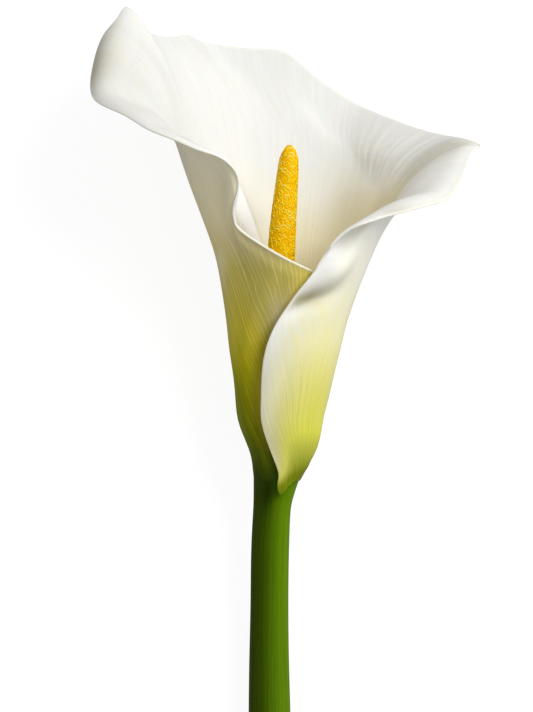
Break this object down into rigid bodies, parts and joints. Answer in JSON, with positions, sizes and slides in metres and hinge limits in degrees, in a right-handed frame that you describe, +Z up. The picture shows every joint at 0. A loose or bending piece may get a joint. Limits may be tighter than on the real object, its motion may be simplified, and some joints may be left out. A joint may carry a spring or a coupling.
{
  "type": "calla lily flower",
  "caption": "Cut calla lily bloom lying on its side: a white rolled spathe with a flared, overlapping rim, a yellow spadix inside, and a smooth green stem.",
  "frame": {"origin": "under the middle of the bloom's bounding box, on the surface it lies on", "axes": "+Y from the cut end of the stem to the mouth of the flower, +Z up from the surface, +X to the side of the overlapping right margin"},
  "size_m": [0.1086, 0.247, 0.0673],
  "materials": {
    "stem": "smooth waxy green plant skin with fine lengthwise streaks",
    "spathe": "satin white petal-like leaf, green at its foot, with fine raised veins",
    "spadix": "matt golden yellow, closely covered with small florets"
  },
  "bodies": {
    "root": {"stem": "stem", "spathe": "spathe", "spadix": "spadix"}
  },
  "joints": []
}
